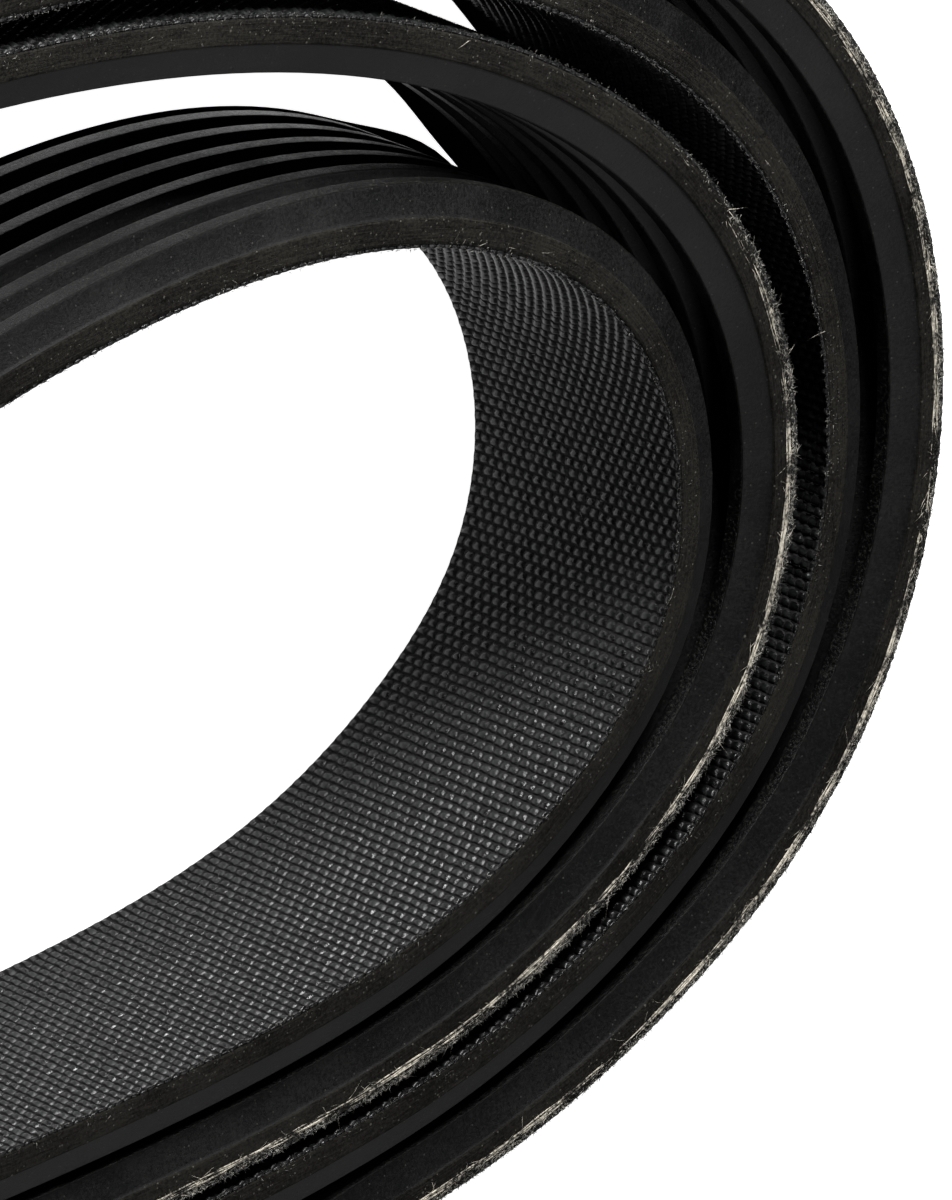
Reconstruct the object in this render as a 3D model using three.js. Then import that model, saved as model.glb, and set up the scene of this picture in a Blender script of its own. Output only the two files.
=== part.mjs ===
// A ribbed serpentine drive belt, coiled up and lying on its cut edge.
// Millimetres, +Z up. The origin is under the middle of the coil, on the surface that it lies on.
import * as THREE from "three";

// The section of the belt, which is the same all the way round
const RIB_COUNT = 6;
const RIB_PITCH = 3.56;
const RIB_TIP_WIDTH = 1.3;
const RIB_DEPTH = 2.3;
const FLANK_ANGLE = 20; // degrees between a rib's flank and its middle plane
const BACK_THICKNESS = 2.4; // from the bottom of the grooves to the fabric back

// The closed belt is flattened to a double strand, ribs inside, and the double strand is rolled up.
// These points steer a smooth closed loop, the fabric back of the innermost strand.
// They run clockwise from the inner bulb, round the tight bend and back along the other side.
// The loop's length and width set the size of the whole coil.
const LOOP_LENGTH = 169;
const LOOP_WIDTH = 75;
const LOOP_POINTS = [
  [0.5917 * LOOP_LENGTH, -0.5733 * LOOP_WIDTH],
  [0.3077 * LOOP_LENGTH, -0.6267 * LOOP_WIDTH],
  [0.0414 * LOOP_LENGTH, -0.4933 * LOOP_WIDTH],
  [-0.1183 * LOOP_LENGTH, -0.2133 * LOOP_WIDTH],
  [-0.1302 * LOOP_LENGTH, 0.0800 * LOOP_WIDTH],
  [-0.0710 * LOOP_LENGTH, 0.2267 * LOOP_WIDTH],
  [0.0296 * LOOP_LENGTH, 0.3467 * LOOP_WIDTH],
  [0.2071 * LOOP_LENGTH, 0.3733 * LOOP_WIDTH],
  [0.4497 * LOOP_LENGTH, 0.3600 * LOOP_WIDTH],
  [0.6923 * LOOP_LENGTH, 0.3600 * LOOP_WIDTH],
  [0.8698 * LOOP_LENGTH, 0.1467 * LOOP_WIDTH],
  [0.8284 * LOOP_LENGTH, -0.3200 * LOOP_WIDTH],
];

// Gaps between neighbouring strands
const SIDE_GAP = 0.9;
const BEND_EXTRA_GAP = 2.3; // what the tight bend adds to each gap

// The double strand ends in a round bulb at each end of the roll.
const BULB_RADIUS = 15; // to the rib tips

// Places along the loop, counted in steering points: 3.5 lies halfway between points 3 and 4.
const INNER_BULB_AT = -0.8;
const INNER_OPENING_FROM = 3.3;
const BEND_AT = 3;
const BEND_REACH = 3.75;
const CROSSING_FROM = 9.1; // here the double strand starts to move out to its second turn
const CROSSING_TO = 11.4;
const OUTER_OPENING_FROM = LOOP_POINTS.length + 6;
const OUTER_BULB_AT = LOOP_POINTS.length + 9;

// How finely the run of the belt is divided
const STEP_LENGTH = 14;
const STEP_ANGLE = THREE.MathUtils.degToRad(9.5);
const SAMPLES_PER_POINT = 60;
const SAMPLES_PER_BULB = 90;

const BELT_WIDTH = RIB_COUNT * RIB_PITCH;
const THICKNESS = RIB_DEPTH + BACK_THICKNESS;

// A step from 0 to 1 that starts and ends without a bend
function ease(x) {
  const t = THREE.MathUtils.clamp(x, 0, 1);
  return t * t * t * (t * (6 * t - 15) + 10);
}

// The innermost back line and its outward direction, as a closed uniform cubic B-spline
function loopAt(place) {
  const first = Math.floor(place);
  const u = place - first;
  const corner = (k) => {
    const n = LOOP_POINTS.length;
    return new THREE.Vector2(...LOOP_POINTS[(((first + k) % n) + n) % n]);
  };
  const weights = [
    (1 - u) ** 3 / 6,
    (3 * u ** 3 - 6 * u ** 2 + 4) / 6,
    (-3 * u ** 3 + 3 * u ** 2 + 3 * u + 1) / 6,
    u ** 3 / 6,
  ];
  const slopes = [
    -((1 - u) ** 2) / 2,
    (3 * u ** 2 - 4 * u) / 2,
    (-3 * u ** 2 + 2 * u + 1) / 2,
    u ** 2 / 2,
  ];
  const point = new THREE.Vector2();
  const along = new THREE.Vector2();
  for (let k = 0; k < 4; k++) {
    point.addScaledVector(corner(k - 1), weights[k]);
    along.addScaledVector(corner(k - 1), slopes[k]);
  }
  along.normalize();
  return { point, outward: new THREE.Vector2(-along.y, along.x) };
}

// The gap between neighbouring strands, widest in the middle of the tight bend
function gapAt(place) {
  const n = LOOP_POINTS.length;
  const away = Math.abs(((((place - BEND_AT + n / 2) % n) + n) % n) - n / 2);
  if (away > BEND_REACH) return SIDE_GAP;
  return SIDE_GAP + BEND_EXTRA_GAP * (0.5 + 0.5 * Math.cos((Math.PI * away) / BEND_REACH));
}

// How far out of the innermost back line the double strand has moved
function turnOffset(place) {
  const turnPitch = 2 * THICKNESS + 2 * gapAt(place);
  return turnPitch * ease((place - CROSSING_FROM) / (CROSSING_TO - CROSSING_FROM));
}

// The rib tips of the double strand's inner half, and of its outer half
function innerTips(place) {
  const { point, outward } = loopAt(place);
  const opening = 2 * BULB_RADIUS - gapAt(place);
  const opened = ease((INNER_OPENING_FROM - place) / (INNER_OPENING_FROM - INNER_BULB_AT));
  return point.addScaledVector(outward, turnOffset(place) + THICKNESS - opening * opened);
}

function outerTips(place) {
  const { point, outward } = loopAt(place);
  const gap = gapAt(place);
  const opening = 2 * BULB_RADIUS - gap;
  const opened = ease((place - OUTER_OPENING_FROM) / (OUTER_BULB_AT - OUTER_OPENING_FROM));
  return point.addScaledVector(outward, turnOffset(place) + THICKNESS + gap + opening * opened);
}

// Half a circle that carries the run from one half of the double strand to the other
function bulb(from, to) {
  const middle = from.clone().add(to).multiplyScalar(0.5);
  const points = [];
  for (let k = 1; k < SAMPLES_PER_BULB; k++) {
    points.push(from.clone().rotateAround(middle, (Math.PI * k) / SAMPLES_PER_BULB));
  }
  return points;
}

// The closed line of the rib tips, anticlockwise round the space between the two halves
function tipLine() {
  const places = [];
  const count = Math.round((OUTER_BULB_AT - INNER_BULB_AT) * SAMPLES_PER_POINT);
  for (let k = 0; k <= count; k++) {
    places.push(INNER_BULB_AT + ((OUTER_BULB_AT - INNER_BULB_AT) * k) / count);
  }
  const inner = places.map(innerTips);
  const outer = places.reverse().map(outerTips);
  return [
    ...inner,
    ...bulb(inner.at(-1), outer[0]),
    ...outer,
    ...bulb(outer.at(-1), inner[0]),
  ];
}

// Stations along the line, close together where it bends and further apart where it runs straight
function stationsAlong(line) {
  const n = line.length;
  const directions = line.map((point, k) => line[(k + 1) % n].clone().sub(line[(k + n - 1) % n]).normalize());
  const steps = line.map((point, k) => {
    const next = (k + 1) % n;
    const turn = Math.acos(Math.min(1, directions[k].dot(directions[next])));
    return Math.max(point.distanceTo(line[next]) / STEP_LENGTH, turn / STEP_ANGLE);
  });
  const total = steps.reduce((sum, step) => sum + step, 0);
  const count = Math.ceil(total);
  const stations = [];
  let passed = 0;
  for (let k = 0; k < n; k++) {
    while (stations.length < count && (stations.length * total) / count < passed + steps[k]) {
      const part = ((stations.length * total) / count - passed) / steps[k];
      const along = directions[k].clone().lerp(directions[(k + 1) % n], part).normalize();
      stations.push({
        tip: line[k].clone().lerp(line[(k + 1) % n], part),
        toBack: new THREE.Vector2(along.y, -along.x),
      });
    }
    passed += steps[k];
  }
  return stations;
}

// The section, as points (depth from the rib tips towards the back, height above the lower edge)
function beltSection() {
  const halfTip = RIB_TIP_WIDTH / 2;
  const halfRoot = halfTip + RIB_DEPTH * Math.tan(THREE.MathUtils.degToRad(FLANK_ANGLE));
  const points = [
    [THICKNESS, 0],
    [RIB_DEPTH, 0],
  ];
  for (let rib = 0; rib < RIB_COUNT; rib++) {
    const middle = (rib + 0.5) * RIB_PITCH;
    points.push([RIB_DEPTH, middle - halfRoot]);
    points.push([0, middle - halfTip]);
    points.push([0, middle + halfTip]);
    points.push([RIB_DEPTH, middle + halfRoot]);
  }
  points.push([RIB_DEPTH, BELT_WIDTH]);
  points.push([THICKNESS, BELT_WIDTH]);
  return points;
}

// The section swept along the closed run, closed both ways, and set over the origin
function beltGeometry() {
  const stations = stationsAlong(tipLine());
  const section = beltSection();
  const positions = [];
  for (const { tip, toBack } of stations) {
    for (const [depth, height] of section) {
      positions.push(tip.x + toBack.x * depth, tip.y + toBack.y * depth, height);
    }
  }
  const indices = [];
  for (let k = 0; k < stations.length; k++) {
    const here = k * section.length;
    const next = ((k + 1) % stations.length) * section.length;
    for (let j = 0; j < section.length; j++) {
      const above = (j + 1) % section.length;
      indices.push(here + j, here + above, next + j);
      indices.push(next + j, here + above, next + above);
    }
  }
  const geometry = new THREE.BufferGeometry();
  geometry.setAttribute("position", new THREE.Float32BufferAttribute(positions, 3));
  geometry.setIndex(indices);
  geometry.computeBoundingBox();
  const middle = geometry.boundingBox.getCenter(new THREE.Vector3());
  geometry.translate(-middle.x, -middle.y, 0);
  geometry.computeVertexNormals();
  return geometry;
}

const rubber = new THREE.MeshStandardMaterial({ color: 0x1c1c1b, roughness: 0.85, metalness: 0 });

const belt = new THREE.Mesh(beltGeometry(), rubber);
belt.name = "belt";

const root = new THREE.Group();
root.add(belt);

export default root;
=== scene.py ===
# %% [markdown]
# A ribbed drive belt, coiled up and lying on its cut edge
#
# The belt is one closed band of rubber, 21.36 mm wide and 4.7 mm thick, with six ribs on one side and a
# woven fabric back on the other. Between them, cords run round the belt and take the pull. Where the belt
# was cut from its sleeve, the outermost cord comes to the surface and frays.
#
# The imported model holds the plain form. This script draws the same run again with fine detail: rounded
# ribs, a raised weave, frayed cords, fluff and dust. Lengths are in millimetres and turn into metres
# only where a mesh is made.

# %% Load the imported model
import math
import bpy
import numpy as np
from mathutils import Matrix, Vector


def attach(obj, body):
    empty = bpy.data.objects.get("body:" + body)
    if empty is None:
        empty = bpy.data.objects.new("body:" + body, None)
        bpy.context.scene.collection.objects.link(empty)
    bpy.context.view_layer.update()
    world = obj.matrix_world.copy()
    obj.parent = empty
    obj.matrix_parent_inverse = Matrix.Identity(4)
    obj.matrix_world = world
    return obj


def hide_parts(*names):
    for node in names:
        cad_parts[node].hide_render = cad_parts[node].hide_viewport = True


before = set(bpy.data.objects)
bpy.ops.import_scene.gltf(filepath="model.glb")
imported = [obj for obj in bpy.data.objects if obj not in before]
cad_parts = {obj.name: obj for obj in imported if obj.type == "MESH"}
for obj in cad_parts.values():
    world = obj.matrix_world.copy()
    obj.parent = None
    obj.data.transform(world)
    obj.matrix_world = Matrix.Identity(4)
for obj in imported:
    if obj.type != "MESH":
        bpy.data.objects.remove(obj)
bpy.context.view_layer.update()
print("packed nodes:", sorted(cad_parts))

# %% [markdown]
# The section of the belt
#
# Ribs of this profile repeat every 3.56 mm. Depth is counted from the rib tips towards the fabric back,
# and height from the edge that the belt lies on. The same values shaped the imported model.

# %% Section sizes
MM = 0.001
RIB_COUNT = 6
RIB_PITCH = 3.56
RIB_TIP_WIDTH = 1.3
RIB_DEPTH = 2.3
FLANK_SLOPE = math.tan(math.radians(20))
BELT_WIDTH = RIB_COUNT * RIB_PITCH
THICKNESS = RIB_DEPTH + 2.4
FABRIC_THICKNESS = 0.45
print("belt", round(BELT_WIDTH, 2), "x", round(THICKNESS, 2), "mm")

# %% [markdown]
# The run of the belt
#
# The closed belt is flattened to a double strand, ribs inside, and the double strand is rolled up. One
# smooth loop steers it all: a closed B-spline, which bends gently and is easy to offset. The strands lie
# beside it at steady gaps, a second turn steps outwards, and a round bulb closes each end.

# %% Steering loop
LOOP_LENGTH = 169
LOOP_WIDTH = 75
LOOP_POINTS = np.array([
    [0.5917 * LOOP_LENGTH, -0.5733 * LOOP_WIDTH],
    [0.3077 * LOOP_LENGTH, -0.6267 * LOOP_WIDTH],
    [0.0414 * LOOP_LENGTH, -0.4933 * LOOP_WIDTH],
    [-0.1183 * LOOP_LENGTH, -0.2133 * LOOP_WIDTH],
    [-0.1302 * LOOP_LENGTH, 0.0800 * LOOP_WIDTH],
    [-0.0710 * LOOP_LENGTH, 0.2267 * LOOP_WIDTH],
    [0.0296 * LOOP_LENGTH, 0.3467 * LOOP_WIDTH],
    [0.2071 * LOOP_LENGTH, 0.3733 * LOOP_WIDTH],
    [0.4497 * LOOP_LENGTH, 0.3600 * LOOP_WIDTH],
    [0.6923 * LOOP_LENGTH, 0.3600 * LOOP_WIDTH],
    [0.8698 * LOOP_LENGTH, 0.1467 * LOOP_WIDTH],
    [0.8284 * LOOP_LENGTH, -0.3200 * LOOP_WIDTH],
])
POINT_COUNT = len(LOOP_POINTS)


def ease(x):
    """A step from 0 to 1 that starts and ends without a bend."""
    t = np.clip(x, 0, 1)
    return t * t * t * (t * (6 * t - 15) + 10)


def loop_at(place):
    """The steering loop's point and outward direction at each place, counted in steering points."""
    first = np.floor(place).astype(int)
    u = (place - first)[:, None]
    weights = [
        (1 - u) ** 3 / 6,
        (3 * u**3 - 6 * u**2 + 4) / 6,
        (-3 * u**3 + 3 * u**2 + 3 * u + 1) / 6,
        u**3 / 6,
    ]
    slopes = [-((1 - u) ** 2) / 2, (3 * u**2 - 4 * u) / 2, (-3 * u**2 + 2 * u + 1) / 2, u**2 / 2]
    corners = [LOOP_POINTS[(first + k - 1) % POINT_COUNT] for k in range(4)]
    point = sum(w * c for w, c in zip(weights, corners))
    along = sum(s * c for s, c in zip(slopes, corners))
    along /= np.linalg.norm(along, axis=1)[:, None]
    return point, np.stack([-along[:, 1], along[:, 0]], 1)


print("steering loop of", POINT_COUNT, "points")

# %% Strands beside the loop
SIDE_GAP = 0.9
BEND_EXTRA_GAP = 2.3
BULB_RADIUS = 15
INNER_BULB_AT = -0.8
INNER_OPENING_FROM = 3.3
BEND_AT = 3
BEND_REACH = 3.75
CROSSING_FROM = 9.1
CROSSING_TO = 11.4
OUTER_OPENING_FROM = POINT_COUNT + 6
OUTER_BULB_AT = POINT_COUNT + 9


def gap_at(place):
    """The gap between neighbouring strands, widest in the middle of the tight bend."""
    away = np.abs((place - BEND_AT + POINT_COUNT / 2) % POINT_COUNT - POINT_COUNT / 2)
    extra = BEND_EXTRA_GAP * (0.5 + 0.5 * np.cos(np.pi * away / BEND_REACH))
    return SIDE_GAP + np.where(away > BEND_REACH, 0, extra)


def tips_at(place, outer_half):
    """The rib tips of the double strand's inner or outer half."""
    point, outward = loop_at(place)
    gap = gap_at(place)
    opening = 2 * BULB_RADIUS - gap
    turn = (2 * THICKNESS + 2 * gap) * ease((place - CROSSING_FROM) / (CROSSING_TO - CROSSING_FROM))
    if outer_half:
        opened = ease((place - OUTER_OPENING_FROM) / (OUTER_BULB_AT - OUTER_OPENING_FROM))
        away = turn + THICKNESS + gap + opening * opened
    else:
        opened = ease((INNER_OPENING_FROM - place) / (INNER_OPENING_FROM - INNER_BULB_AT))
        away = turn + THICKNESS - opening * opened
    return point + outward * away[:, None]


print("gap between strands", SIDE_GAP, "mm, and in the tight bend", round(SIDE_GAP + BEND_EXTRA_GAP, 2))

# %% The closed line of the rib tips
SAMPLES_PER_POINT = 120
SAMPLES_PER_BULB = 180
BETWEEN_BULBS = round((OUTER_BULB_AT - INNER_BULB_AT) * SAMPLES_PER_POINT)
OUTER_HALF = 100  # added to a sample's place where it is on the double strand's outer half


def bulb(start, end):
    """Half a circle that carries the run from one half of the double strand to the other."""
    middle = (start + end) / 2
    angle = np.pi * np.arange(1, SAMPLES_PER_BULB) / SAMPLES_PER_BULB
    reach = start - middle
    side = np.array([-reach[1], reach[0]])
    return middle + np.outer(np.cos(angle), reach) + np.outer(np.sin(angle), side)


def tip_line():
    """The line of the rib tips, and for each of its points the place on the loop."""
    places = np.linspace(INNER_BULB_AT, OUTER_BULB_AT, BETWEEN_BULBS + 1)
    inner = tips_at(places, False)
    outer = tips_at(places[::-1], True)
    blend = np.arange(1, SAMPLES_PER_BULB) / SAMPLES_PER_BULB
    line = np.concatenate([inner, bulb(inner[-1], outer[0]), outer, bulb(outer[-1], inner[0])])
    where = np.concatenate([
        places,
        OUTER_BULB_AT + OUTER_HALF * blend,
        OUTER_HALF + places[::-1],
        OUTER_HALF * (1 - blend),
    ])
    return line, where


line, line_places = tip_line()
print("rib tips drawn with", len(line), "samples")

# %% [markdown]
# Even steps along the fabric back
#
# The weave repeats every 0.8 mm along the belt, so the run is divided into even steps that fit it. Each
# column of the weave takes two steps, and the count is even so that the pattern closes on itself.

# %% Stations along the run
WEAVE_COLUMN = 0.8
WEAVE_BUMPS = 23
WEAVE_BUMP = BELT_WIDTH / WEAVE_BUMPS
CHANGE_FROM = 0.4 * OUTER_HALF  # in a bulb, the inner half turns into the outer one from here on
CHANGE_REACH = 0.2 * OUTER_HALF

line_along = np.roll(line, -1, 0) - np.roll(line, 1, 0)
line_along /= np.linalg.norm(line_along, axis=1)[:, None]
line_to_back = np.stack([line_along[:, 1], -line_along[:, 0]], 1)
back_line = line + THICKNESS * line_to_back
back_steps = np.linalg.norm(np.roll(back_line, -1, 0) - back_line, axis=1)
back_length = back_steps.sum()
passed = np.concatenate([[0], np.cumsum(back_steps)])
column_count = 2 * round(back_length / WEAVE_COLUMN / 2)
column = back_length / column_count
drawn_centre = (back_line.min(0) + back_line.max(0)) / 2


def closed(values):
    return np.concatenate([values, values[:1]])


def stations(along):
    """Tips, direction to the back and place on the loop, at distances along the fabric back."""
    s = np.asarray(along) % back_length
    tip = np.stack([np.interp(s, passed, closed(line[:, k])) for k in range(2)], 1) - drawn_centre
    to_back = np.stack([np.interp(s, passed, closed(line_to_back[:, k])) for k in range(2)], 1)
    to_back /= np.linalg.norm(to_back, axis=1)[:, None]
    return tip, to_back, np.interp(s, passed, closed(line_places))


def half_and_place(where):
    """From 0 on the inner half to 1 on the outer half, and the place on the loop."""
    outer = ease((where - CHANGE_FROM) / CHANGE_REACH)
    return outer, np.clip(where - OUTER_HALF * outer, 0, OUTER_BULB_AT)


print(f"fabric back {back_length:.1f} mm, {column_count} weave columns of {column:.4f} mm")

# %% [markdown]
# From sections to meshes
#
# Each piece is a section swept along the run. The sweep takes a grid of depths and heights, one row for
# each station, so the section may change on the way, which is how a weave or a ragged edge is made.
# Every piece closes on itself. Its map "run" holds the distance along the belt and round the section,
# in metres, and the materials read their patterns from it.

# %% Mesh helpers
def new_piece(name, points, faces, materials, face_materials=None, corner_maps=None):
    """A mesh object from points in millimetres and faces that all have the same number of corners."""
    mesh = bpy.data.meshes.new(name)
    mesh.vertices.add(len(points))
    mesh.vertices.foreach_set("co", (points * MM).astype(np.float32).ravel())
    mesh.loops.add(faces.size)
    mesh.loops.foreach_set("vertex_index", faces.astype(np.int32).ravel())
    mesh.polygons.add(len(faces))
    mesh.polygons.foreach_set("loop_start", np.arange(0, faces.size, faces.shape[1], dtype=np.int32))
    mesh.polygons.foreach_set("use_smooth", np.ones(len(faces), bool))
    for material in materials:
        mesh.materials.append(material)
    if face_materials is not None:
        mesh.polygons.foreach_set("material_index", face_materials.astype(np.int32))
    mesh.update(calc_edges=True)
    for map_name, corners in (corner_maps or {}).items():
        mesh.uv_layers.new(name=map_name).uv.foreach_set("vector", corners.astype(np.float32).ravel())
    piece = bpy.data.objects.new(name, mesh)
    bpy.context.scene.collection.objects.link(piece)
    print(f"{name}: {len(points)} points, {len(faces) * (faces.shape[1] - 2)} triangles")
    return piece


def grid_faces(rows, columns, close_rows, close_columns):
    """Quads of a grid of points, and the unwrapped row and column of each of their corners."""
    r = np.arange(rows if close_rows else rows - 1)
    c = np.arange(columns if close_columns else columns - 1)
    r, c = (a.ravel() for a in np.meshgrid(r, c, indexing="ij"))
    corner_rows = np.stack([r, r, r + 1, r + 1], 1)
    corner_columns = np.stack([c, c + 1, c + 1, c], 1)
    faces = corner_rows % rows * columns + corner_columns % columns
    return faces, corner_rows, corner_columns


def sweep(name, along, depth, height, materials, section_materials=None, close_run=True, girth=None):
    """Sweeps a closed section along the run: depth and height have a row for each station."""
    tip, to_back, _ = stations(along)
    ground = tip[:, None] + to_back[:, None] * depth[..., None]
    points = np.concatenate([ground, height[..., None]], 2)
    rows, columns = depth.shape
    faces, face_rows, face_columns = grid_faces(rows, columns, close_run, True)
    step = along[1] - along[0]
    if girth is None:
        middle = rows // 2
        depth_steps = np.diff(depth[middle], append=depth[middle, 0])
        height_steps = np.diff(height[middle], append=height[middle, 0])
        girth_steps = np.hypot(depth_steps, height_steps)
        girth = np.concatenate([[0], np.cumsum(girth_steps)])
    run_map = np.stack([along[0] + face_rows * step, girth[face_columns]], 2) * MM
    which = None
    if section_materials is not None:
        which = section_materials[face_columns[:, 0]]
    points = points.reshape(-1, 3)
    if not close_run:
        # Both ends get a cap: a strip of quads between the section's two halves.
        half = columns // 2
        k = np.arange(half - 1)
        start_cap = np.stack([k, columns - 1 - k, columns - 2 - k, k + 1], 1)
        end_cap = (start_cap + (rows - 1) * columns)[:, ::-1]
        faces = np.concatenate([faces, start_cap, end_cap])
        run_map = np.concatenate([run_map, np.zeros((2 * len(k), 4, 2))])
        if which is not None:
            which = np.concatenate([which, np.zeros(2 * len(k), int)])
    return new_piece(name, points, faces, materials, which, {"run": run_map})


def wander(seed, spacing, along, low=0.0, high=1.0):
    """Smooth random values along the closed run, between low and high."""
    count = max(4, round(back_length / spacing))
    values = np.random.default_rng(seed).random(count)
    at = np.asarray(along) / back_length * count
    first = np.floor(at).astype(int)
    t = at - first
    t = t * t * (3 - 2 * t)
    return low + (high - low) * (values[first % count] * (1 - t) + values[(first + 1) % count] * t)


print("mesh helpers are ready")

# %% [markdown]
# Materials
#
# All finishes are made of nodes. Small helpers keep the node code short: one adds a node and feeds its
# sockets, one mixes two colours. Numbers that are the same all over go straight onto the shader.

# %% Node helpers
def new_material(name, **values):
    """A material with its node tree and its main shader, whose plain numbers are set here."""
    material = bpy.data.materials.new(name)
    material.use_nodes = True
    shader = material.node_tree.nodes["Principled BSDF"]
    for socket, value in values.items():
        shader.inputs[socket.replace("_", " ")].default_value = value
    return material, material.node_tree, shader


def add(tree, kind, feeds=None, out=0, **settings):
    """Adds a node, sets its settings, feeds its sockets and returns one of its outputs."""
    node = tree.nodes.new(kind)
    for key, value in settings.items():
        setattr(node, key, value)
    for key, value in (feeds or {}).items():
        socket = node.inputs[key]
        if isinstance(value, bpy.types.NodeSocket):
            tree.links.new(value, socket)
        else:
            socket.default_value = value
    return node.outputs[out]


def maths(tree, operation, a, b=0.0, c=0.0):
    return add(tree, "ShaderNodeMath", {0: a, 1: b, 2: c}, operation=operation)


def weighted(tree, *parts):
    """The sum of some values, each times its weight."""
    total = None
    for value, weight in parts:
        part = maths(tree, "MULTIPLY", value, weight)
        total = part if total is None else maths(tree, "ADD", total, part)
    return total


def between(tree, factor, low, high):
    """A value from low to high as the factor goes from 0 to 1."""
    return add(tree, "ShaderNodeMapRange", {"Value": factor, "To Min": low, "To Max": high})


def remap(tree, value, from_low, from_high):
    """0 to 1 as the value goes from one number to another, smoothly."""
    return add(
        tree, "ShaderNodeMapRange", {"Value": value, "From Min": from_low, "From Max": from_high},
        interpolation_type="SMOOTHSTEP",
    )


def mix(tree, factor, first, second):
    """A colour mixed from two others."""
    node = tree.nodes.new("ShaderNodeMix")
    node.data_type = "RGBA"
    for socket, value in zip((node.inputs[0], node.inputs[6], node.inputs[7]), (factor, first, second)):
        if isinstance(value, bpy.types.NodeSocket):
            tree.links.new(value, socket)
        else:
            socket.default_value = (*value, 1) if isinstance(value, tuple) else value
    return node.outputs[2]


def noise(tree, vector, scale, detail=3.0, roughness=0.55):
    return add(
        tree, "ShaderNodeTexNoise",
        {"Vector": vector, "Scale": scale, "Detail": detail, "Roughness": roughness},
    )


def run_place(tree):
    """The distances along the belt and round its section, in millimetres."""
    where = add(tree, "ShaderNodeUVMap", uv_map="run")
    scaled = add(tree, "ShaderNodeVectorMath", {0: where, 1: (1000, 1000, 1000)}, operation="MULTIPLY")
    split = tree.nodes.new("ShaderNodeSeparateXYZ")
    tree.links.new(scaled, split.inputs[0])
    return split.outputs[0], split.outputs[1]


def stretched(tree, along, round_section, along_scale, round_scale):
    """Coordinates for a pattern that is longer one way than the other."""
    return add(tree, "ShaderNodeCombineXYZ", {
        0: maths(tree, "MULTIPLY", along, along_scale),
        1: maths(tree, "MULTIPLY", round_section, round_scale),
    })


def bump(tree, height, distance, strength=1.0, under=None):
    feeds = {"Height": height, "Distance": distance, "Strength": strength}
    if under is not None:
        feeds["Normal"] = under
    return add(tree, "ShaderNodeBump", feeds)


def object_place(tree):
    return add(tree, "ShaderNodeTexCoord", out="Object")


def connect(tree, shader, colour=None, roughness=None, normal=None):
    """Feeds the shader what varies over the surface."""
    feeds = (("Base Color", colour), ("Roughness", roughness), ("Normal", normal))
    for socket, value in feeds:
        if value is not None:
            tree.links.new(value, shader.inputs[socket])


print("node helpers are ready")

# %% [markdown]
# Woven fabric
#
# The back is a plain weave of fine yarn that was pressed into the rubber. It shows as short raised bumps
# in columns across the belt, each column half a bump off from the next. The mesh carries the bumps
# themselves. The nodes add what is finer: painted shade that turns the joints between the bumps near
# black, darker than the yarn itself; a round crown that catches the light in one small spot; the yarn's
# own fibres; and bumps that are paler or shinier than others.

# %% Woven fabric finish
# painted shade: the joints between the bumps are coloured near black for the shade in the crevices
JOINT_PAINTED_SHADE = (0.0003, 0.0003, 0.0003)
YARN_DARK = (0.0030, 0.0034, 0.0033)
YARN_PALE = (0.0110, 0.0120, 0.0117)
YARN_STRAY = 0.36  # millimetres between the strays of the woven lines to either side
CROWN_RELIEF = 0.00029
YARN_FIBRE_RELIEF = 0.00003


def woven_fabric():
    material, tree, shader = new_material(
        "woven_fabric", Sheen_Weight=0.01, Sheen_Roughness=0.4, Specular_IOR_Level=0.42
    )
    along, across = run_place(tree)
    shift = noise(tree, object_place(tree), 900.0, 3.0)
    stray = maths(tree, "MULTIPLY", maths(tree, "SUBTRACT", shift, 0.5), YARN_STRAY)
    along = maths(tree, "ADD", along, stray)
    across = maths(tree, "ADD", across, stray)
    column_at = maths(tree, "DIVIDE", along, column)
    column_number = maths(tree, "FLOOR", column_at)
    in_column = maths(tree, "SUBTRACT", maths(tree, "FRACT", column_at), 0.5)
    odd = maths(tree, "MULTIPLY", maths(tree, "MODULO", column_number, 2.0), 0.5)
    bump_at = maths(tree, "ADD", maths(tree, "DIVIDE", across, WEAVE_BUMP), odd)
    bump_number = maths(tree, "FLOOR", bump_at)
    in_bump = maths(tree, "SUBTRACT", maths(tree, "FRACT", bump_at), 0.5)
    over_column = maths(tree, "COSINE", maths(tree, "MULTIPLY", in_column, math.pi))
    over_bump = maths(tree, "COSINE", maths(tree, "MULTIPLY", in_bump, math.pi))
    raised = maths(
        tree, "MULTIPLY",
        maths(tree, "POWER", maths(tree, "ABSOLUTE", over_column), 1.8),
        maths(tree, "POWER", maths(tree, "ABSOLUTE", over_bump), 0.6),
    )
    which = add(tree, "ShaderNodeCombineXYZ", {0: column_number, 1: bump_number})
    chance = add(tree, "ShaderNodeTexWhiteNoise", {"Vector": which}, noise_dimensions="2D")
    yarn_fibres = noise(tree, stretched(tree, along, across, 14.0, 2.2), 1.0, 4.0)
    patches = noise(tree, object_place(tree), 60.0, 4.0)
    fine = maths(tree, "SUBTRACT", yarn_fibres, 0.5)
    tone = weighted(tree, (chance, 0.5), (patches, 0.5), (fine, 0.8))
    yarn = mix(tree, remap(tree, tone, 0.25, 0.8), YARN_DARK, YARN_PALE)
    # painted shade: where the weave is low, the colour goes near black for the shade between the yarns
    colour = mix(tree, remap(tree, raised, 0.24, 0.66), JOINT_PAINTED_SHADE, yarn)
    shine = between(tree, tone, 0.18, 0.50)
    roughness = between(tree, remap(tree, raised, 0.1, 0.45), 1.0, shine)
    crest = maths(tree, "MULTIPLY", over_bump, remap(tree, over_column, 0.0, 0.6))
    weave = bump(tree, weighted(tree, (crest, 0.7), (over_column, 0.3)), CROWN_RELIEF)
    connect(tree, shader, colour, roughness, bump(tree, yarn_fibres, YARN_FIBRE_RELIEF, 1.0, weave))
    return material


fabric = woven_fabric()
print("finish:", fabric.name)

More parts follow.
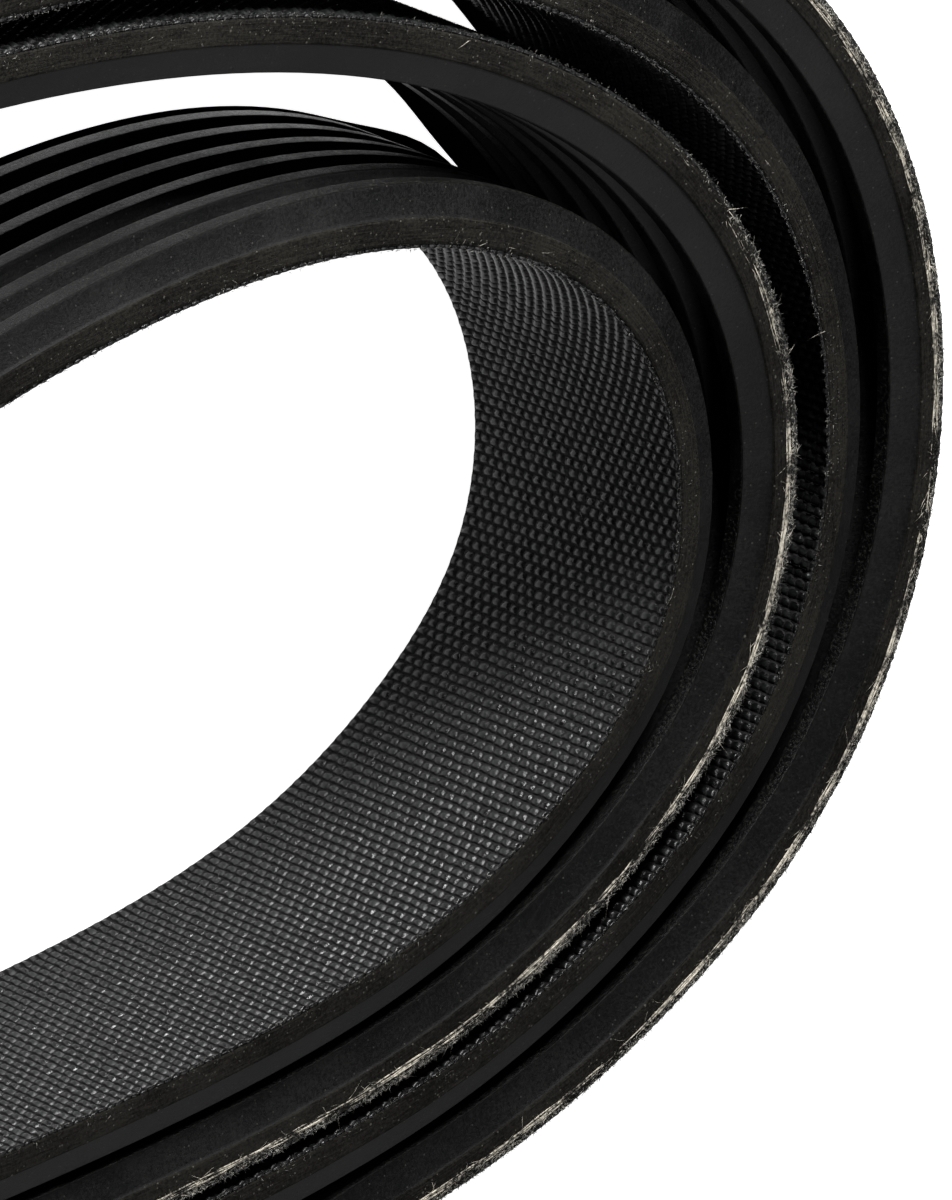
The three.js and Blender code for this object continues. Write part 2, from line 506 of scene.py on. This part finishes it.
# %% [markdown]
# Rubber
#
# The ribs are ground to shape after curing, which leaves fine marks across the flanks, and the rib tips
# show the cut ends of short fibres in the rubber. The cut edge is a knife cut through the same rubber:
# browner, rougher, with lines along the run and pale specks.

# %% Rib rubber finish
RUBBER_DARK = (0.0003, 0.0004, 0.0004)
RUBBER_PALE = (0.0095, 0.0100, 0.0093)
RUBBER_DUST = (0.042, 0.040, 0.036)
TIP_DARK = (0.0008, 0.0008, 0.0007)
TIP_FIBRE = (0.0240, 0.0235, 0.0213)
CORNER_DARK = (0.002, 0.002, 0.0018)
CORNER_PALE = (0.009, 0.0088, 0.008)
GRINDING_RELIEF = 0.000015
GRAIN_RELIEF = 0.00006
FIBRE_END_RELIEF = 0.00013


def dust(tree, scale, size, share):
    """1 on small scattered specks, 0 elsewhere: a part of the cells hold a speck of some size."""
    cells = tree.nodes.new("ShaderNodeTexVoronoi")
    cells.inputs["Scale"].default_value = scale
    tree.links.new(object_place(tree), cells.inputs["Vector"])
    chosen = add(
        tree, "ShaderNodeTexWhiteNoise", {"Vector": cells.outputs["Position"]}, noise_dimensions="3D"
    )
    speck = remap(tree, cells.outputs["Distance"], size, 0.4 * size)
    return maths(tree, "MULTIPLY", speck, maths(tree, "GREATER_THAN", chosen, 1 - share))


def rib_rubber():
    material, tree, shader = new_material("rib_rubber", Specular_IOR_Level=0.16)
    along, around = run_place(tree)
    grind = noise(tree, stretched(tree, along, around, 9.0, 0.6), 1.0, 4.0)
    grains = noise(tree, object_place(tree), 3800.0, 4.0, 0.85)
    patches = noise(tree, object_place(tree), 110.0, 5.0, 0.65)
    tone = weighted(tree, (grind, 0.15), (patches, 0.3), (grains, 0.55))
    rubber = mix(tree, remap(tree, tone, 0.42, 0.62), RUBBER_DARK, RUBBER_PALE)
    specks = maths(tree, "MAXIMUM", dust(tree, 1500.0, 0.17, 0.05), dust(tree, 3000.0, 0.27, 0.11))
    colour = mix(tree, specks, rubber, RUBBER_DUST)
    roughness = between(tree, grains, 0.42, 0.7)
    marks = bump(tree, grind, GRINDING_RELIEF)
    connect(tree, shader, colour, roughness, bump(tree, grains, GRAIN_RELIEF, 1.0, marks))
    return material


def rib_tip_rubber():
    material, tree, shader = new_material("rib_tip_rubber", Specular_IOR_Level=0.22)
    fibre_ends = noise(tree, object_place(tree), 4000.0, 4.0, 0.75)
    patches = noise(tree, object_place(tree), 140.0, 4.0)
    colour = mix(tree, remap(tree, fibre_ends, 0.52, 0.64), TIP_DARK, TIP_FIBRE)
    rough = weighted(tree, (patches, 0.4), (fibre_ends, 0.6))
    roughness = between(tree, remap(tree, rough, 0.4, 0.62), 0.3, 0.62)
    connect(tree, shader, colour, roughness, bump(tree, fibre_ends, FIBRE_END_RELIEF))
    return material


def rib_corner_rubber():
    material, tree, shader = new_material("rib_corner_rubber", Roughness=0.6, Specular_IOR_Level=0.08)
    grains = noise(tree, object_place(tree), 3000.0, 4.0, 0.7)
    colour = mix(tree, remap(tree, grains, 0.44, 0.68), CORNER_DARK, CORNER_PALE)
    connect(tree, shader, colour, normal=bump(tree, grains, GRAIN_RELIEF))
    return material


ribs = rib_rubber()
rib_tips = rib_tip_rubber()
rib_corners = rib_corner_rubber()
print("finishes:", ribs.name, rib_tips.name, rib_corners.name)

# %% Cut edge finish
CUT_DARK = (0.0018, 0.0017, 0.0014)
CUT_PALE = (0.0260, 0.0246, 0.0208)
CUT_SPECKS = (0.10, 0.095, 0.082)
CUT_LINE_RELIEF = 0.00004
CUT_GRAIN_RELIEF = 0.00009


def cut_rubber():
    material, tree, shader = new_material("cut_rubber", Roughness=0.75, Specular_IOR_Level=0.06)
    along, around = run_place(tree)
    lines = noise(tree, stretched(tree, along, around, 0.35, 9.0), 1.0, 5.0, 0.6)
    grains = noise(tree, object_place(tree), 3600.0, 4.0, 0.85)
    patches = noise(tree, object_place(tree), 110.0, 5.0, 0.65)
    tone = weighted(tree, (lines, 0.3), (patches, 0.25), (grains, 0.45))
    rubber = mix(tree, remap(tree, tone, 0.40, 0.62), CUT_DARK, CUT_PALE)
    specks = maths(tree, "MAXIMUM", dust(tree, 1500.0, 0.2, 0.10), dust(tree, 2900.0, 0.28, 0.18))
    colour = mix(tree, specks, rubber, CUT_SPECKS)
    marks = bump(tree, lines, CUT_LINE_RELIEF)
    connect(tree, shader, colour, normal=bump(tree, grains, CUT_GRAIN_RELIEF, 1.0, marks))
    return material


cut = cut_rubber()
print("finish:", cut.name)

# %% [markdown]
# Cord, fluff and dust
#
# The cord is pale polyester yarn that has picked up rubber and dirt, so its colour runs from off-white
# to brown along its length. The fluff at the fabric's edge is finer and greyer.

# %% Fibre finishes
STRAND_RELIEF = 0.00003


def fibre(name, dark, pale, spread, middle=0.5):
    """A fibre's finish. The colour changes over a spread of tones round the middle one."""
    material, tree, shader = new_material(
        name, Roughness=0.85, Specular_IOR_Level=0.3, Sheen_Weight=0.05, Sheen_Roughness=0.5
    )
    dirt = noise(tree, object_place(tree), 420.0, 4.0, 0.6)
    strands = noise(tree, object_place(tree), 3500.0, 3.0, 0.6)
    tone = weighted(tree, (dirt, 0.55), (strands, 0.45))
    colour = mix(tree, remap(tree, tone, middle - spread, middle + spread), dark, pale)
    connect(tree, shader, colour, normal=bump(tree, strands, STRAND_RELIEF))
    return material


cord = fibre("frayed_cord", dark=(0.008, 0.0075, 0.006), pale=(0.80, 0.74, 0.62), spread=0.10)
stubble = fibre(
    "cord_stubble", dark=(0.004, 0.004, 0.0035), pale=(0.58, 0.56, 0.50), spread=0.12, middle=0.51
)
fluff = fibre(
    "fabric_fluff", dark=(0.004, 0.0039, 0.0034), pale=(0.42, 0.41, 0.37), spread=0.14, middle=0.58
)
lint = fibre("lint", dark=(0.08, 0.077, 0.07), pale=(0.3, 0.295, 0.28), spread=0.1)
print("finishes:", cord.name, stubble.name, fluff.name, lint.name)

# %% [markdown]
# Ribs and cut edges
#
# This is the body of the belt. Each rib has a flat tip with narrow broken corners and a rounded root, as
# the grinding wheel leaves them, and the outer groove ends in a small step at the cut edge. The knife did
# not cut quite straight, so the upper cut edge wanders a little. The body stops under the fabric, which is
# a sheet of its own.

# %% The rubber body
BODY_STEP = 2.3
CUT_FACE_POINTS = 7
TIPS, FLANKS, CUTS, CORNERS = 0, 1, 2, 3
ROOT_ROUNDING = [(0.03, 0.06), (0.18, -0.06)]  # above the groove, and past the foot of the flank
CORNER_FROM = 0.26  # depths between which the corner is broken
CORNER_TO = 0.10
TIP_ROUNDING = [(0.015, 0.03), (0.0, 0.14)]  # under the tip, and in from its side
EDGE_STEP = [(0.16, 0.01), (0.08, 0.05), (0.04, 0.15)]  # past the groove, and in from the cut edge
CUT_FACE_TO = 0.26  # past the groove
INTO_FABRIC = 0.05  # how far the body reaches into the sheet of fabric
KNIFE_WAVER = [(11, 9, -0.05, 0.03), (12, 2.4, -0.02, 0.02)]  # seed, spacing, lowest, highest


def rib_profile():
    """One rib from groove to groove, as depth, offset from the rib's middle, and its finish."""
    half_tip = RIB_TIP_WIDTH / 2
    half_root = half_tip + RIB_DEPTH * FLANK_SLOPE
    side = [(RIB_DEPTH, RIB_PITCH / 2, FLANKS)]
    side += [(RIB_DEPTH - rise, half_root + past, FLANKS) for rise, past in ROOT_ROUNDING]
    side += [(CORNER_FROM, half_tip + CORNER_FROM * FLANK_SLOPE, FLANKS)]
    side += [(CORNER_TO, half_tip + CORNER_TO * FLANK_SLOPE, CORNERS)]
    side += [(depth, half_tip - inset, TIPS) for depth, inset in TIP_ROUNDING]
    lower = [(depth, -offset, finish) for depth, offset, finish in side]
    finishes = [TIPS, CORNERS, FLANKS, FLANKS, FLANKS, FLANKS]
    upper = [(depth, offset, finish) for (depth, offset, _), finish in zip(side[:0:-1], finishes)]
    return lower + upper


def body_section():
    """The closed section, from the lower cut edge over the ribs to the upper one."""
    under_fabric = THICKNESS - FABRIC_THICKNESS + INTO_FABRIC
    cut_depths = np.linspace(under_fabric, RIB_DEPTH + CUT_FACE_TO, CUT_FACE_POINTS)
    step = [(RIB_DEPTH + past, inset) for past, inset in EDGE_STEP]
    points = [(depth, 0.0, CUTS) for depth in cut_depths]
    points += [(depth, inset, CUTS) for depth, inset in step]
    for rib in range(RIB_COUNT):
        middle = (rib + 0.5) * RIB_PITCH
        profile = rib_profile()
        if rib == 0:
            profile = profile[1:]
        points += [(depth, middle + offset, finish) for depth, offset, finish in profile]
    points += [(depth, BELT_WIDTH - inset, CUTS) for depth, inset in reversed(step)]
    points += [(depth, BELT_WIDTH, CUTS) for depth in reversed(cut_depths)]
    return np.array(points)


section = body_section()
body_stations = round(back_length / BODY_STEP)
body_along = np.arange(body_stations) * back_length / body_stations
body_depth = np.repeat(section[None, :, 0], body_stations, 0)
body_height = np.repeat(section[None, :, 1], body_stations, 0)
upper_edge = (section[:, 2] == CUTS) & (section[:, 1] > BELT_WIDTH / 2)
for seed, spacing, lowest, highest in KNIFE_WAVER:
    body_height[:, upper_edge] += wander(seed, spacing, body_along, lowest, highest)[:, None]
body = sweep(
    "ribbed_body", body_along, body_depth, body_height, [rib_tips, ribs, cut, rib_corners],
    section[:, 2].astype(int),
)

# %% [markdown]
# Woven back
#
# The weave is real relief. Each bump of yarn takes two steps along the belt and two across it: the point
# on its crown is high, the joints and the line between two columns are low, and smooth shading rounds
# it. Chance lifts or sinks single bumps a little. A sheet of that detail is too heavy for one mesh, so
# it comes in three lengths that meet exactly.

# %% Relief of the weave
BUMP_CROWN = 0.0
BUMP_JOINT = 0.22
COLUMN_VALLEY = 0.31
WEAVE_SINK = 0.03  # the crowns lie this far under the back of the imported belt
CHANCE_SPREAD = 0.012
CHANCE_LIMITS = (-0.025, 0.04)
EDGE_SINK = 0.07  # along the cut edges the relief is nearly flat
EDGE_RELIEF = 0.15
RAGGED_SPREAD = 0.02
EDGE_NOTCH = -0.03  # between two columns, at the upper edge
LINING_INSET = 0.05  # of the sheet's inner side, from the upper edge
FABRIC_LENGTHS = 3


def weave_relief(step_numbers):
    """How far each point of the fabric lies under the crown of the bumps."""
    rows = 2 * WEAVE_BUMPS + 1
    row = np.arange(rows)
    columns = step_numbers[:, None] // 2
    on_column = step_numbers[:, None] % 2 == 1
    crown = (row[None] + columns + 1) % 2 == 0
    low = np.where(on_column, np.where(crown, BUMP_CROWN, BUMP_JOINT), COLUMN_VALLEY)
    chance = np.random.default_rng(21).normal(0, CHANCE_SPREAD, (2 * column_count, rows))
    chance = np.clip(chance, *CHANCE_LIMITS)
    relief = low + WEAVE_SINK + chance[step_numbers % (2 * column_count)]
    relief[:, [0, -1]] = EDGE_SINK + EDGE_RELIEF * relief[:, [0, -1]]
    return relief


def fabric_length(number):
    """One length of the fabric sheet, a closed solid between two stations of the run."""
    first = 2 * column_count * number // FABRIC_LENGTHS
    last = 2 * column_count * (number + 1) // FABRIC_LENGTHS
    steps = np.arange(first, last + 1)
    along = steps * column / 2
    relief = weave_relief(steps)
    rows = relief.shape[1]
    height = np.repeat(np.linspace(0, BELT_WIDTH, rows)[None], len(steps), 0)
    outside = THICKNESS - relief
    ragged = np.random.default_rng(31).normal(0, RAGGED_SPREAD, 2 * column_count)
    ragged = ragged[steps % (2 * column_count)]
    on_column = steps % 2 == 1
    height[:, -1] += np.where(on_column, 0.0, EDGE_NOTCH) + ragged
    height[:, 0] = 0
    under = THICKNESS - FABRIC_THICKNESS
    inside_depth = np.full((len(steps), 1), under)
    depth = np.concatenate([outside, inside_depth, inside_depth], 1)
    height = np.concatenate([height, height[:, -1:] - LINING_INSET, np.full((len(steps), 1), 0.0)], 1)
    from_top = np.linspace(0, BELT_WIDTH, rows)
    girth = np.concatenate([
        [-BELT_WIDTH - FABRIC_THICKNESS, -FABRIC_THICKNESS], from_top, [BELT_WIDTH + FABRIC_THICKNESS]
    ])
    return sweep(
        f"woven_back_{number + 1}", along, depth[:, ::-1], height[:, ::-1], [fabric],
        close_run=False, girth=girth,
    )


backs = [fabric_length(number) for number in range(FABRIC_LENGTHS)]

# %% [markdown]
# Fluff and frayed cord
#
# A fibre is a thin tube that tapers to a point and bends a little. There are thousands, so they are all
# built at once as arrays: a root, a direction, a length and a bend for each.

# %% Fibre builder
def fibres(name, root, direction, length, radius, bend, material, rings=3):
    """Many tapering three-sided tubes as one mesh. Each argument has a row for each fibre."""
    count = len(root)
    direction = direction / np.linalg.norm(direction, axis=1)[:, None]
    side = np.cross(direction, [0.3, 0.2, 0.93])
    side /= np.linalg.norm(side, axis=1)[:, None]
    other = np.cross(direction, side)
    points = []
    for ring in range(rings):
        t = ring / rings
        centre = root + direction * (length * t)[:, None] + bend * (t * t)
        thick = (radius * (1 - 0.6 * t))[:, None]
        for corner in range(3):
            angle = corner * 2 * math.pi / 3
            points.append(centre + thick * (side * math.cos(angle) + other * math.sin(angle)))
    points.append(root + direction * length[:, None] + bend)
    points = np.stack(points, 1)
    one = [(0, 2, 1)]
    for ring in range(rings - 1):
        for corner in range(3):
            a, b = 3 * ring + corner, 3 * ring + (corner + 1) % 3
            one += [(a, b, a + 3), (b, b + 3, a + 3)]
    top = 3 * (rings - 1)
    one += [(top + c, top + (c + 1) % 3, top + 3) for c in range(3)]
    one = np.array(one)
    faces = (np.arange(count)[:, None, None] * points.shape[1] + one[None]).reshape(-1, 3)
    return new_piece(name, points.reshape(-1, 3), faces, [material])


def on_run(along, depth, height):
    """Points on the belt, and the directions along it and to its back there."""
    tip, to_back, _ = stations(along)
    point = np.concatenate([tip + to_back * depth[:, None], height[:, None]], 1)
    to_back = np.concatenate([to_back, np.zeros((len(along), 1))], 1)
    forward = np.stack([-to_back[:, 1], to_back[:, 0], np.zeros(len(along))], 1)
    return point, forward, to_back


print("fibre builder is ready")

# %% [markdown]
# How much the belt is frayed
#
# The photograph shows the cord bare along the outer half of the double strand, and only greyish fluff on
# the inner half. The amount below is 1 where the cord is bare and near 0 where it is still covered.

# %% Amount of fraying
FRAYED_FROM = 2.5
FRAYED_REACH = 0.9
LEAST_BARE = 0.62  # how bare the cord is anywhere in the frayed part
PATCHES_BARE = 0.5  # how much barer it is in patches


def fray_at(along):
    outer, place = half_and_place(stations(along)[2])
    bare = outer * ease((place - FRAYED_FROM) / FRAYED_REACH)
    patches = wander(41, 14, along) * 0.5 + wander(42, 5, along) * 0.5
    return np.clip(bare * (LEAST_BARE + PATCHES_BARE * patches), 0, 1)


fray_now = fray_at(np.linspace(0, back_length, 500))
print(f"the cord is bare along {100 * np.mean(fray_now > 0.5):.0f}% of the belt")

# %% The bare cord
UPPER_CORD_DEPTHS = [3.64, 3.74, 3.86, 3.99]
LOWER_CORD_DEPTHS = [3.95]
CORD_STEP = 0.8
CORD_SIDES = 5
THIN_CORD = 0.02  # a bundle's radius where the belt is whole
FRAYED_CORD = 0.045  # and how much it gains where the belt is frayed
CORD_RISE = 0.16  # a bundle is sunk by this much where the belt is whole


def cord_strand(number, depth, upper):
    """One bundle of the cord's filaments, half sunk in the cut edge, as a noisy tube."""
    count = round(back_length / CORD_STEP)
    along = np.arange(count) * back_length / count
    fray = fray_at(along)
    seed = 100 + 10 * number + (0 if upper else 5)
    centre = depth + wander(seed, 2.6, along, -0.09, 0.09)
    rise = wander(seed + 1, 1.7, along, -0.06, 0.05) + CORD_RISE * fray - CORD_RISE
    thick = (THIN_CORD + FRAYED_CORD * fray) * wander(seed + 2, 1.9, along, 0.4, 1.3)
    angle = np.arange(CORD_SIDES) * 2 * np.pi / CORD_SIDES
    out = 1 if upper else -1
    level = BELT_WIDTH if upper else 0.0
    depth_grid = centre[:, None] + thick[:, None] * np.cos(angle)
    height_grid = level + out * (rise[:, None] + thick[:, None] * np.sin(angle))
    if not upper:
        height_grid = np.maximum(height_grid, 0.0)
    return along, depth_grid, height_grid


def cord_edge(name, upper, depths):
    """All bundles of one cut edge, joined into one mesh."""
    pieces = []
    for number, depth in enumerate(depths):
        along, depth_grid, height_grid = cord_strand(number, depth, upper)
        if not upper:
            depth_grid = depth_grid[:, ::-1]
            height_grid = height_grid[:, ::-1]
        tip, to_back, _ = stations(along)
        ground = tip[:, None] + to_back[:, None] * depth_grid[..., None]
        points = np.concatenate([ground, height_grid[..., None]], 2).reshape(-1, 3)
        faces, _, _ = grid_faces(*depth_grid.shape, True, True)
        pieces.append((points, faces[:, ::-1]))
    offsets = np.cumsum([0] + [len(points) for points, _ in pieces[:-1]])
    points = np.concatenate([points for points, _ in pieces])
    faces = np.concatenate([faces + offset for (_, faces), offset in zip(pieces, offsets)])
    return new_piece(name, points, faces, [cord])


cord_upper = cord_edge("bare_cord_upper", True, UPPER_CORD_DEPTHS)
cord_lower = cord_edge("bare_cord_lower", False, LOWER_CORD_DEPTHS)

# %% Loose fibres of the cord and the fabric edge
def loose_fibres(
    name, seed, count, depth_range, length_range, radius_range, spread, lift, material, chance, rings,
    gather=1.0
):
    """Fibres along the upper cut edge, gathered towards the back, more of them where chance is high."""
    rng = np.random.default_rng(seed)
    along = rng.random(4 * count) * back_length
    along = along[rng.random(len(along)) < chance(along)][:count]
    count = len(along)
    depth = depth_range[1] - (depth_range[1] - depth_range[0]) * rng.random(count) ** gather
    point, forward, to_back = on_run(along, depth, np.full(count, BELT_WIDTH - 0.02))
    turn = rng.normal(0, spread, count)
    ahead = np.where(rng.random(count) < 0.5, 1, -1)
    direction = forward * (ahead * np.cos(turn))[:, None] + to_back * np.sin(turn)[:, None]
    direction[:, 2] += np.abs(rng.normal(0, lift, count))
    length = rng.uniform(*length_range, count)
    radius = rng.uniform(*radius_range, count)
    bend = rng.normal(0, 0.16, (count, 3)) * length[:, None]
    bend[:, 2] = -np.abs(bend[:, 2]) * 0.5
    return fibres(name, point, direction, length, radius, bend, material, rings)


def where_frayed(along):
    return 0.01 + 0.99 * fray_at(along) ** 1.5


def in_tufts(along):
    return 0.5 + 0.5 * wander(43, 3, along)


cord_fibres = loose_fibres(
    "cord_fibres", seed=51, count=3600, depth_range=(3.58, 4.25), length_range=(0.4, 1.8),
    radius_range=(0.012, 0.028), spread=0.45, lift=0.14, material=cord, chance=where_frayed, rings=2,
)
cord_stubble = loose_fibres(
    "cord_stubble", seed=53, count=24000, depth_range=(3.85, 4.62), length_range=(0.12, 0.5),
    radius_range=(0.018, 0.036), spread=0.9, lift=0.5, material=stubble, chance=where_frayed, rings=1,
)
edge_fibres = loose_fibres(
    "edge_fibres", seed=52, count=19000, depth_range=(3.2, 4.70), length_range=(0.06, 0.34),
    radius_range=(0.014, 0.034), spread=1.2, lift=0.5, material=fluff, chance=in_tufts, rings=1, gather=2.6,
)

# %% [markdown]
# Lint
#
# A belt that lies in a workshop catches lint. Short pale fibres cling to the weave, curled and at every
# angle. They are sparse and follow no pattern, so each one's place, angle and length is left to chance.

# %% Lint on the weave
LINT_COUNT = 900
LINT_MARGIN = 0.8  # clear of the cut edges


def lint_on_back(count):
    rng = np.random.default_rng(61)
    along = rng.random(count) * back_length
    height = rng.uniform(LINT_MARGIN, BELT_WIDTH - LINT_MARGIN, count)
    point, forward, to_back = on_run(along, np.full(count, THICKNESS - 0.04), height)
    turn = rng.random(count) * 2 * math.pi
    direction = forward * np.cos(turn)[:, None]
    direction[:, 2] += np.sin(turn)
    length = np.exp(rng.normal(math.log(0.4), 0.5, count)).clip(0.15, 1.6)
    radius = rng.uniform(0.014, 0.03, count)
    bend = forward * (rng.normal(0, 0.25, count) * length)[:, None] + to_back * (0.08 * length)[:, None]
    bend[:, 2] += rng.normal(0, 0.25, count) * length
    return fibres("lint_on_weave", point, direction, length, radius, bend, lint)


lint_weave = lint_on_back(LINT_COUNT)

# %% [markdown]
# Pieces in place of the imported model
#
# Every piece rides on the one body, and the imported belt is hidden, so that the pieces stand in for it.

# %% Tie the pieces to the imported belt
pieces = [body, *backs, cord_upper, cord_lower, cord_fibres, cord_stubble, edge_fibres, lint_weave]
for piece in pieces:
    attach(piece, "root")
    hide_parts("belt")
total = sum(len(p.data.polygons) * (len(p.data.polygons[0].vertices) - 2) for p in pieces)
print(len(pieces), "pieces,", total, "triangles")

# %% [markdown]
# Camera
#
# The photograph is a close view with a long lens, 41 degrees above the ground. The camera lies on its
# side and is rolled 22 degrees further. The values were worked out from the belt's known width and rib
# pitch. The camera aims at the point of the upper edge plane that falls in the middle of the picture.

# %% The camera
PICTURE_WIDTH = 952
PICTURE_HEIGHT = 1200
CAMERA_DISTANCE = 1043.3
CAMERA_TILT = math.radians(49)  # between the view direction and straight down
CAMERA_ROLL = 0.3912  # past lying on its side
CAMERA_TURN = math.radians(57)  # of the camera round the coil
PIXELS_PER_MM = 13.897
SENSOR = 36.0

right = np.array([math.cos(CAMERA_TURN), math.sin(CAMERA_TURN), 0])
ahead = np.array([-math.sin(CAMERA_TURN), math.cos(CAMERA_TURN), 0])
view = ahead * math.sin(CAMERA_TILT) - np.array([0, 0, math.cos(CAMERA_TILT)])
up = ahead * math.cos(CAMERA_TILT) + np.array([0, 0, math.sin(CAMERA_TILT)])
aim = np.array([-drawn_centre[0], -drawn_centre[1], BELT_WIDTH])
place = aim - CAMERA_DISTANCE * view
picture_x = -math.sin(CAMERA_ROLL) * right + math.cos(CAMERA_ROLL) * up
picture_y = -math.cos(CAMERA_ROLL) * right - math.sin(CAMERA_ROLL) * up

camera_data = bpy.data.cameras.new("camera")
camera_data.sensor_fit = "AUTO"
camera_data.sensor_width = SENSOR
camera_data.lens = PIXELS_PER_MM * CAMERA_DISTANCE * SENSOR / PICTURE_HEIGHT
camera_data.clip_start = 0.05
camera_data.clip_end = 50
camera = bpy.data.objects.new("camera", camera_data)
columns = [Vector(v) for v in (picture_x, picture_y, -view)]
turn = Matrix(columns).transposed()
camera.matrix_world = Matrix.Translation(Vector(place * MM)) @ turn.to_4x4()
bpy.context.scene.collection.objects.link(camera)
bpy.context.scene.camera = camera
print("lens", round(camera_data.lens, 1), "mm, camera at", [round(x, 1) for x in place])

# %% [markdown]
# Floor and light
#
# The photograph has a bright, shadowless white ground. A pale floor that glows a little gives that, and
# it lights the lower rib tips too. A black strip on the floor under the belt and its narrow gaps is
# painted shadow, which keeps them as black as they are in the photograph. A soft lamp close to the belt
# draws the sheen on the weave, and a wide soft fill from the other side opens the flanks and the cut edges.

# %% The floor
FLOOR_REACH = 14.0  # metres
FLOOR_LEVEL = -0.0001


def studio_floor():
    floor_mesh = bpy.data.meshes.new("floor")
    signs = [(-1, -1), (1, -1), (1, 1), (-1, 1)]
    corners = [(FLOOR_REACH * x, FLOOR_REACH * y, FLOOR_LEVEL) for x, y in signs]
    floor_mesh.from_pydata(corners, [], [(0, 1, 2, 3)])
    floor = bpy.data.objects.new("floor", floor_mesh)
    bpy.context.scene.collection.objects.link(floor)
    material, tree, shader = new_material(
        "pale_floor", Base_Color=(0.85, 0.85, 0.85, 1), Roughness=0.9, Specular_IOR_Level=0.1,
        Emission_Color=(1, 1, 1, 1), Emission_Strength=1.0,
    )
    floor_mesh.materials.append(material)
    return floor


print(studio_floor().name, "reaches", FLOOR_REACH, "m")

# %% The painted shadow under the belt
SHADED_FROM = 2.4  # before this place on the loop, the gaps open and light reaches the floor
SHADED_REACH = 0.5
STRIP_STATIONS = 1200
STRIP_LEVEL = 0.02
STRIP_INSET = 0.3  # the strip stays inside the back of the belt, where no strand faces it


def shade_between_strands():
    """A black strip on the floor under the belt and its narrow gaps: painted shadow where no light reaches.
    """
    along = np.arange(STRIP_STATIONS) * back_length / STRIP_STATIONS
    tip, to_back, where = stations(along)
    outer, place = half_and_place(where)
    gap = gap_at(place)
    second_turn = ease((place - 8) / 4)
    faces_strand = second_turn * (1 - outer) + (1 - second_turn) * outer
    on_outer_bulb = (along > passed[BETWEEN_BULBS]) & (along < passed[BETWEEN_BULBS + SAMPLES_PER_BULB])
    on_bulb = on_outer_bulb | (along > passed[-1 - SAMPLES_PER_BULB])
    deep = np.where(on_bulb, 0, ease((place % POINT_COUNT - SHADED_FROM) / SHADED_REACH))
    rib_side = -0.5 * gap * deep
    back_side = THICKNESS - STRIP_INSET + (STRIP_INSET + 0.5 * gap) * faces_strand * deep
    level = np.full((len(along), 1), STRIP_LEVEL)
    low = np.concatenate([tip + to_back * rib_side[:, None], level], 1)
    high = np.concatenate([tip + to_back * back_side[:, None], level], 1)
    faces, _, _ = grid_faces(len(along), 2, True, False)
    # painted shadow: a near-black floor colour stands in for the shade under the belt and in its gaps
    material, _, _ = new_material(
        "painted_shadow_floor", Base_Color=(0.01, 0.01, 0.01, 1), Roughness=1.0, Specular_IOR_Level=0.0
    )
    shade = new_piece("floor_shade", np.stack([low, high], 1).reshape(-1, 3), faces, [material])
    return shade


shade_between_strands()

# %% The lights
WORLD_STRENGTH = 0.03


def place_light(name, kind, energy, azimuth, elevation, distance=0.0):
    """A light that shines on the middle of the picture, from an azimuth counted from +X, in degrees."""
    data = bpy.data.lights.new(name, kind)
    data.energy = energy
    light = bpy.data.objects.new(name, data)
    a, e = math.radians(azimuth), math.radians(elevation)
    towards = Vector((math.cos(a) * math.cos(e), math.sin(a) * math.cos(e), math.sin(e)))
    light.location = Vector(aim * MM) + towards * distance
    light.rotation_euler = towards.to_track_quat("Z", "Y").to_euler()
    bpy.context.scene.collection.objects.link(light)
    return light


world = bpy.data.worlds.new("studio")
world.use_nodes = True
world.node_tree.nodes["Background"].inputs["Color"].default_value = (1, 1, 1, 1)
world.node_tree.nodes["Background"].inputs["Strength"].default_value = WORLD_STRENGTH
bpy.context.scene.world = world
key = place_light("key", "AREA", 1.15, azimuth=-97, elevation=19, distance=0.24)
key.data.size = 0.07
key.visible_camera = False
fill = place_light("fill", "SUN", 1.5, azimuth=108, elevation=33)
fill.data.angle = math.radians(40)
bpy.context.scene.view_settings.view_transform = "Standard"
print("lights:", key.name, fill.name)
